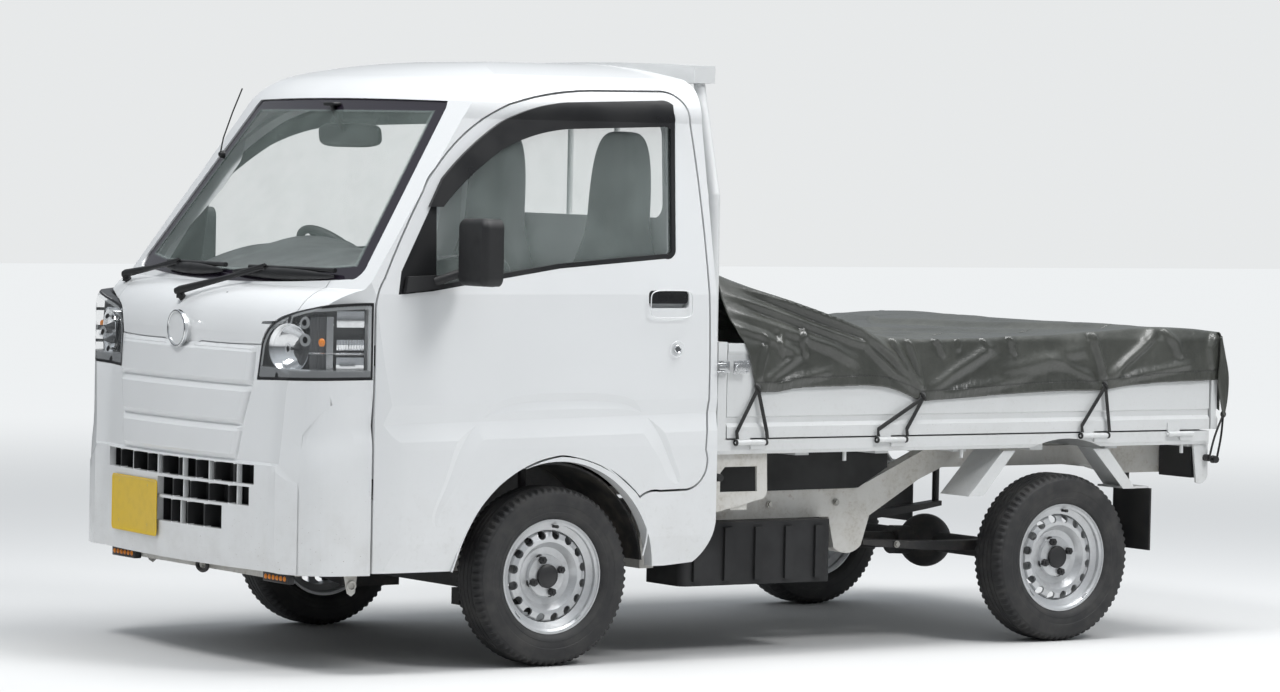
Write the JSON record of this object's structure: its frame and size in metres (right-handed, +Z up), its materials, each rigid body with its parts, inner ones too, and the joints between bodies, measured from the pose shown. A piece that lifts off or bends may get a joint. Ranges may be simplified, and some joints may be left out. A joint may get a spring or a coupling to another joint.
{
  "type": "kei truck",
  "caption": "Small cab-over truck with a drop-side bed under a lashed tarpaulin, right-hand drive, opening doors, folding gates, steered front wheels and turning wheels.",
  "frame": {"origin": "on the ground under the middle of the whole length and width", "axes": "+X forward, +Y to the vehicle's left, +Z up"},
  "size_m": [3.4025, 1.836, 1.7759],
  "materials": {
    "body_paint": "gloss white paint with road dirt low down",
    "bed_paint": "gloss white paint, scuffed by loads",
    "frame_paint": "pale primer under a film of road dirt",
    "axle_paint": "black chassis paint, dusty",
    "engine_metal": "sand-cast, oily",
    "exhaust_steel": "dull stainless with heat tint",
    "wheel_paint": "silver wheel paint, satin",
    "tyre_rubber": "dry black rubber",
    "screen_glass": "laminated glass with a faint green tint",
    "lamp_lens": "clear moulded lens",
    "amber_lens": "moulded amber lens",
    "red_lens": "moulded red lens",
    "black_trim": "grained black moulding and rubber seal",
    "mirror_housing": "grained black moulding",
    "wiper_black": "satin black arms and rubber blades",
    "dash_plastic": "grained grey moulding",
    "wheel_plastic": "grained dark grey urethane",
    "seat_fabric": "woven grey cloth with vinyl sides",
    "tank_plastic": "blow-moulded black plastic",
    "splash_plastic": "dull black sheet with dust",
    "flap_rubber": "dull black rubber sheet",
    "tarp_fabric": "coated dark olive-grey cloth with a satin sheen",
    "latch_plating": "bright zinc plating, dulled",
    "radiator_black": "matt black finned core"
  },
  "bodies": {
    "body": {"chassis_frame": "frame_paint", "cab_floor": "body_paint", "cab_sides": "body_paint", "cab_rear_wall": "body_paint", "cab_roof": "body_paint", "hood_panel": "body_paint", "front_bumper": "body_paint", "headlamps": "lamp_lens", "windscreen": "screen_glass", "rear_window": "screen_glass", "dashboard": "dash_plastic", "seats": "seat_fabric", "wipers": "wiper_black", "bed_deck": "bed_paint", "headboard": "bed_paint", "tail_lamps": "red_lens", "marker_lamps": "amber_lens", "engine_block": "engine_metal", "fuel_tank": "tank_plastic", "splash_panels": "splash_plastic", "exhaust": "exhaust_steel", "rear_axle": "axle_paint", "front_suspension": "axle_paint", "wheel_guards": "bed_paint", "mud_flaps": "flap_rubber", "tarp_top": "tarp_fabric", "gate_latches": "latch_plating", "stoppers": "flap_rubber", "radiator": "radiator_black"},
    "tailgate": {"tailgate": "bed_paint", "tarp_rear": "tarp_fabric"},
    "steering_wheel": {"steering_wheel": "wheel_plastic"},
    "door_left": {"door_left": "body_paint", "door_glass_left": "screen_glass", "door_trim_left": "black_trim", "mirror_left": "mirror_housing"},
    "gate_left": {"gate_left": "bed_paint", "tarp_left": "tarp_fabric"},
    "knuckle_left": {"knuckle_left": "axle_paint"},
    "wheel_front_left": {"tyre_front_left": "tyre_rubber", "rim_front_left": "wheel_paint"},
    "wheel_rear_left": {"tyre_rear_left": "tyre_rubber", "rim_rear_left": "wheel_paint"},
    "door_right": {"door_right": "body_paint", "door_glass_right": "screen_glass", "door_trim_right": "black_trim", "mirror_right": "mirror_housing"},
    "gate_right": {"gate_right": "bed_paint", "tarp_right": "tarp_fabric"},
    "knuckle_right": {"knuckle_right": "axle_paint"},
    "wheel_front_right": {"tyre_front_right": "tyre_rubber", "rim_front_right": "wheel_paint"},
    "wheel_rear_right": {"tyre_rear_right": "tyre_rubber", "rim_rear_right": "wheel_paint"}
  },
  "joints": [
    {"name": "door_left_swing", "type": "hinge", "parent": "body", "child": "door_left", "pos_m": [1.38425, 0.708, 0.72], "axis": [0, 0, -1], "range_deg": [0, 65]},
    {"name": "gate_left_drop", "type": "hinge", "parent": "body", "child": "gate_left", "pos_m": [-0.71375, 0.7295, 0.644], "axis": [-1, 0, 0], "range_deg": [0, 165]},
    {"name": "steer_left", "type": "hinge", "parent": "body", "child": "knuckle_left", "pos_m": [0.82625, 0.6, 0.262], "axis": [0, 0, 1], "range_deg": [-35, 35]},
    {"name": "wheel_front_left_spin", "type": "hinge", "parent": "knuckle_left", "child": "wheel_front_left", "pos_m": [0.82625, 0.652, 0.262], "axis": [0, 1, 0], "continuous": true},
    {"name": "wheel_rear_left_spin", "type": "hinge", "parent": "body", "child": "wheel_rear_left", "pos_m": [-1.07375, 0.652, 0.262], "axis": [0, 1, 0], "continuous": true},
    {"name": "door_right_swing", "type": "hinge", "parent": "body", "child": "door_right", "pos_m": [1.38425, -0.708, 0.72], "axis": [0, 0, 1], "range_deg": [0, 65]},
    {"name": "gate_right_drop", "type": "hinge", "parent": "body", "child": "gate_right", "pos_m": [-0.71375, -0.7295, 0.644], "axis": [1, 0, 0], "range_deg": [0, 165]},
    {"name": "steer_right", "type": "hinge", "parent": "body", "child": "knuckle_right", "pos_m": [0.82625, -0.6, 0.262], "axis": [0, 0, 1], "range_deg": [-35, 35]},
    {"name": "wheel_front_right_spin", "type": "hinge", "parent": "knuckle_right", "child": "wheel_front_right", "pos_m": [0.82625, -0.652, 0.262], "axis": [0, 1, 0], "continuous": true},
    {"name": "wheel_rear_right_spin", "type": "hinge", "parent": "body", "child": "wheel_rear_right", "pos_m": [-1.07375, -0.652, 0.262], "axis": [0, 1, 0], "continuous": true},
    {"name": "tailgate_drop", "type": "hinge", "parent": "body", "child": "tailgate", "pos_m": [-1.69325, 0, 0.644], "axis": [0, -1, 0], "range_deg": [0, 165]},
    {"name": "steering_wheel_turn", "type": "hinge", "parent": "body", "child": "steering_wheel", "pos_m": [0.92325, -0.35, 1.125], "axis": [-0.7071, 0, 0.7071], "range_deg": [-595, 595]}
  ],
  "couplings": [
    {"joint": "steer_right", "follows": "steer_left", "ratio": 1},
    {"joint": "steering_wheel_turn", "follows": "steer_left", "ratio": 17}
  ]
}
